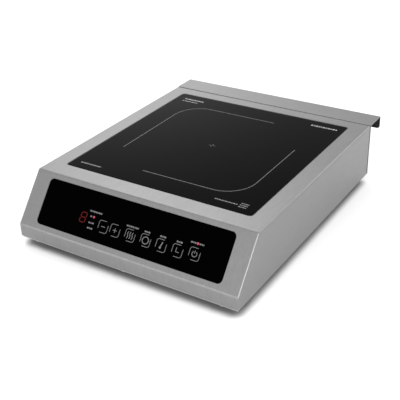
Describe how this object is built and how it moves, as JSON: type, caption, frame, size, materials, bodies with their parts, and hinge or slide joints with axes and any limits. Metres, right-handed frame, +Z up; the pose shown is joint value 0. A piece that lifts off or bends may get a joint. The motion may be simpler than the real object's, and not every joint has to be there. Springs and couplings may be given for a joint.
{
  "type": "countertop induction hob",
  "caption": "Countertop induction hob: folded brushed-steel case with a sloping control front, a flush black cooking glass and a hood over its rear air slots.",
  "frame": {"origin": "on the worktop, under the centre of the object's box", "axes": "+X to the user's right, +Y to the rear, +Z up"},
  "size_m": [0.33, 0.42, 0.09],
  "materials": {
    "case_steel": "brushed",
    "zinc_steel": "zinc-plated",
    "cooking_glass": "polished, black",
    "control_glass": "polished, black",
    "silicone_seal": "matte",
    "foot_rubber": "matte",
    "touch_foam": "matte",
    "black_plastic": "fine texture",
    "component_black": "moulded",
    "circuit_board": "solder mask",
    "copper_wire": "enamelled strands",
    "ferrite": "matte",
    "mica": "matte",
    "film_plastic": "satin",
    "cream_plastic": "satin",
    "sensor_ceramic": "matte",
    "lamp_red": "clear red",
    "lead_sleeve": "silicone sleeve",
    "aluminium": "satin"
  },
  "bodies": {
    "chassis": {"top_housing": "case_steel", "rear_panel": "case_steel", "base_plate": "zinc_steel", "glass_support_frame": "zinc_steel", "base_screw_front_left": "zinc_steel", "base_screw_front_middle": "zinc_steel", "base_screw_front_right": "zinc_steel", "base_screw_rear_middle": "zinc_steel", "rear_screw_left": "zinc_steel", "rear_screw_right": "zinc_steel", "sensor_spring": "zinc_steel", "glass_top": "cooking_glass", "control_glass": "control_glass", "glass_seal": "silicone_seal", "gland_insert": "silicone_seal", "foot_front_left": "foot_rubber", "foot_front_right": "foot_rubber", "foot_rear_left": "foot_rubber", "foot_rear_right": "foot_rubber", "touch_pad_1": "touch_foam", "touch_pad_2": "touch_foam", "touch_pad_3": "touch_foam", "touch_pad_4": "touch_foam", "touch_pad_5": "touch_foam", "touch_pad_6": "touch_foam", "touch_pad_7": "touch_foam", "gland_body": "black_plastic", "gland_lock_nut": "black_plastic", "gland_dome_nut": "black_plastic", "control_bracket": "black_plastic", "coil_carrier": "black_plastic", "fan_frame": "black_plastic", "power_transistor": "component_black", "bridge_rectifier": "component_black", "electrolytic_capacitor": "component_black", "digit_display": "component_black", "power_board": "circuit_board", "control_board": "circuit_board", "coil_winding": "copper_wire", "filter_choke": "copper_wire", "fan_stator": "copper_wire", "ferrite_bar_1": "ferrite", "ferrite_bar_2": "ferrite", "ferrite_bar_3": "ferrite", "ferrite_bar_4": "ferrite", "ferrite_bar_5": "ferrite", "ferrite_bar_6": "ferrite", "mica_sheet": "mica", "resonance_capacitor": "film_plastic", "standby_transformer": "cream_plastic", "terminal_block": "cream_plastic", "ribbon_cable": "cream_plastic", "mode_led": "lamp_red", "standby_led": "lamp_red", "coil_lead_inner": "lead_sleeve", "coil_lead_outer": "lead_sleeve", "heat_sink": "aluminium", "coil_tray": "aluminium"},
    "fan_rotor": {"fan_impeller": "black_plastic"},
    "sensor_head": {"temperature_sensor": "sensor_ceramic"}
  },
  "joints": [
    {"name": "fan_spin", "type": "hinge", "parent": "chassis", "child": "fan_rotor", "pos_m": [-0.085, 0.04, 0.02], "axis": [0, 0, 1], "continuous": true},
    {"name": "sensor_press", "type": "slide", "parent": "chassis", "child": "sensor_head", "axis": [0, 0, 1], "range_m": [-0.002, 0], "stiffness_N_per_m": 250, "springref_m": 0.003, "deforming": ["sensor_spring"]}
  ]
}
